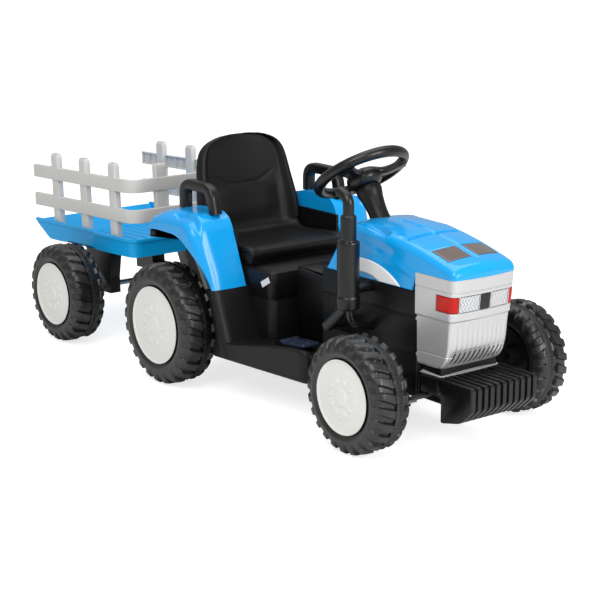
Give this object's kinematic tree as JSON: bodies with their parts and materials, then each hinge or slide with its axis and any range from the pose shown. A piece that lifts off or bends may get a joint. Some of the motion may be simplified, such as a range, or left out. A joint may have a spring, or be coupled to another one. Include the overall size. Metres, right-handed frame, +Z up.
{
  "type": "ride on tractor toy",
  "caption": "Battery ride-on toy tractor with bonnet, bucket seat, lugged wheels, linked steering and a hitched fenced trailer.",
  "frame": {"origin": "ground level under the middle of the whole train's bounding box", "axes": "+X the driving direction, +Y to the driver's left, +Z up"},
  "size_m": [1.4428, 0.538, 0.53],
  "materials": {
    "blue_plastic": "glossy",
    "bed_blue": "semi-gloss",
    "black_body": "satin",
    "black_trim": "satin",
    "seat_black": "satin",
    "silver_plastic": "metallic paint",
    "clear_lens": "clear",
    "red_lens": "glossy translucent",
    "tyre_black": "matte",
    "rim_white": "semi-gloss",
    "fence_grey": "satin",
    "steel": "zinc plated",
    "motor_steel": "plated",
    "gear_nylon": "matte",
    "gearbox_black": "matte",
    "battery_grey": "matte",
    "control_black": "matte",
    "pedal_navy": "satin",
    "cover_white": "satin",
    "button_green": "glossy",
    "rocker_black": "glossy"
  },
  "bodies": {
    "chassis": {"lower_body": "black_body", "bonnet": "blue_plastic", "dash_panel": "black_body", "column_shroud": "black_body", "front_grille": "silver_plastic", "headlamp_lenses": "clear_lens", "corner_lamps": "red_lens", "front_weight": "black_trim", "fender_right": "blue_plastic", "fender_left": "blue_plastic", "grab_handle_right": "black_trim", "grab_handle_left": "black_trim", "seat": "seat_black", "exhaust_stack": "black_trim", "front_axle_beam": "black_body", "kingpins": "steel", "rear_axle": "steel", "gearbox_right": "gearbox_black", "gearbox_left": "gearbox_black", "drive_motors": "motor_steel", "battery_tray": "black_body", "battery": "battery_grey", "control_box": "control_black", "pedal_bracket": "black_body", "charge_cover": "cover_white", "rear_wheel_nuts": "steel", "tow_tongue": "black_body", "hitch_pin": "steel"},
    "steering": {"steering_wheel": "black_trim", "steering_shaft": "steel"},
    "horn": {"horn_button": "black_trim"},
    "tie_rod": {"tie_rod": "steel"},
    "pedal": {"accelerator_pedal": "pedal_navy"},
    "power": {"power_button": "button_green"},
    "rocker": {"direction_rocker": "rocker_black"},
    "trailer": {"trailer_bed": "bed_blue", "trailer_fence": "fence_grey", "trailer_frame": "black_trim", "trailer_axle": "steel", "trailer_wheel_nuts": "steel"},
    "knuckle_right": {"knuckle_right": "steel", "front_wheel_nut_right": "steel"},
    "front_wheel_right": {"front_tyre_right": "tyre_black", "front_rim_right": "rim_white"},
    "rear_wheel_right": {"rear_tyre_right": "tyre_black", "rear_rim_right": "rim_white", "output_gear_right": "gear_nylon"},
    "trailer_wheel_right": {"trailer_tyre_right": "tyre_black", "trailer_rim_right": "rim_white"},
    "pinion_right": {"motor_pinion_right": "gear_nylon"},
    "knuckle_left": {"knuckle_left": "steel", "front_wheel_nut_left": "steel"},
    "front_wheel_left": {"front_tyre_left": "tyre_black", "front_rim_left": "rim_white"},
    "rear_wheel_left": {"rear_tyre_left": "tyre_black", "rear_rim_left": "rim_white", "output_gear_left": "gear_nylon"},
    "trailer_wheel_left": {"trailer_tyre_left": "tyre_black", "trailer_rim_left": "rim_white"},
    "pinion_left": {"motor_pinion_left": "gear_nylon"}
  },
  "joints": [
    {"name": "steering_turn", "type": "hinge", "parent": "chassis", "child": "steering", "pos_m": [0.31136, 0, 0.468], "axis": [-0.5736, 0, 0.8192], "range_deg": [-45, 45]},
    {"name": "horn_press", "type": "slide", "parent": "steering", "child": "horn", "axis": [0.5736, 0, -0.8192], "range_m": [0, 0.003], "stiffness_N_per_m": 400},
    {"name": "tie_rod_shift", "type": "slide", "parent": "chassis", "child": "tie_rod", "axis": [0, 1, 0], "range_m": [-0.0139, 0.0139]},
    {"name": "knuckle_right_turn", "type": "hinge", "parent": "chassis", "child": "knuckle_right", "pos_m": [0.54736, -0.126, 0.112], "axis": [0, 0, 1], "range_deg": [-16.5, 16.5]},
    {"name": "front_wheel_right_spin", "type": "hinge", "parent": "knuckle_right", "child": "front_wheel_right", "pos_m": [0.54736, -0.205, 0.112], "axis": [0, 1, 0], "continuous": true},
    {"name": "rear_wheel_right_spin", "type": "hinge", "parent": "chassis", "child": "rear_wheel_right", "pos_m": [-0.03564, -0.228, 0.128], "axis": [0, 1, 0], "continuous": true},
    {"name": "trailer_wheel_right_spin", "type": "hinge", "parent": "trailer", "child": "trailer_wheel_right", "pos_m": [-0.45664, -0.228, 0.112], "axis": [0, 1, 0], "continuous": true},
    {"name": "pinion_right_spin", "type": "hinge", "parent": "chassis", "child": "pinion_right", "pos_m": [0.00664, -0.144, 0.14339], "axis": [0, 1, 0], "continuous": true},
    {"name": "knuckle_left_turn", "type": "hinge", "parent": "chassis", "child": "knuckle_left", "pos_m": [0.54736, 0.126, 0.112], "axis": [0, 0, 1], "range_deg": [-16.5, 16.5]},
    {"name": "front_wheel_left_spin", "type": "hinge", "parent": "knuckle_left", "child": "front_wheel_left", "pos_m": [0.54736, 0.205, 0.112], "axis": [0, 1, 0], "continuous": true},
    {"name": "rear_wheel_left_spin", "type": "hinge", "parent": "chassis", "child": "rear_wheel_left", "pos_m": [-0.03564, 0.228, 0.128], "axis": [0, 1, 0], "continuous": true},
    {"name": "trailer_wheel_left_spin", "type": "hinge", "parent": "trailer", "child": "trailer_wheel_left", "pos_m": [-0.45664, 0.228, 0.112], "axis": [0, 1, 0], "continuous": true},
    {"name": "pinion_left_spin", "type": "hinge", "parent": "chassis", "child": "pinion_left", "pos_m": [0.00664, 0.144, 0.14339], "axis": [0, 1, 0], "continuous": true},
    {"name": "pedal_press", "type": "hinge", "parent": "chassis", "child": "pedal", "pos_m": [0.22836, -0.118, 0.1265], "axis": [0, 1, 0], "range_deg": [0, 6], "stiffness_Nm_per_rad": 6},
    {"name": "power_press", "type": "slide", "parent": "chassis", "child": "power", "axis": [0.8699, 0, -0.4932], "range_m": [0, 0.003], "stiffness_N_per_m": 400},
    {"name": "rocker_tilt", "type": "hinge", "parent": "chassis", "child": "rocker", "pos_m": [0.35557, 0.042, 0.34827], "axis": [0.4932, 0, 0.8699], "range_deg": [-8, 8]},
    {"name": "trailer_yaw", "type": "hinge", "parent": "chassis", "child": "trailer", "pos_m": [-0.14964, 0, 0.16], "axis": [0, 0, 1], "range_deg": [-30, 30]}
  ],
  "couplings": [
    {"joint": "tie_rod_shift", "follows": "steering_turn", "m_per_rad": 0.0176},
    {"joint": "knuckle_right_turn", "follows": "steering_turn", "ratio": 0.36666},
    {"joint": "pinion_right_spin", "follows": "rear_wheel_right_spin", "ratio": -4},
    {"joint": "knuckle_left_turn", "follows": "steering_turn", "ratio": 0.36666},
    {"joint": "pinion_left_spin", "follows": "rear_wheel_left_spin", "ratio": -4}
  ]
}
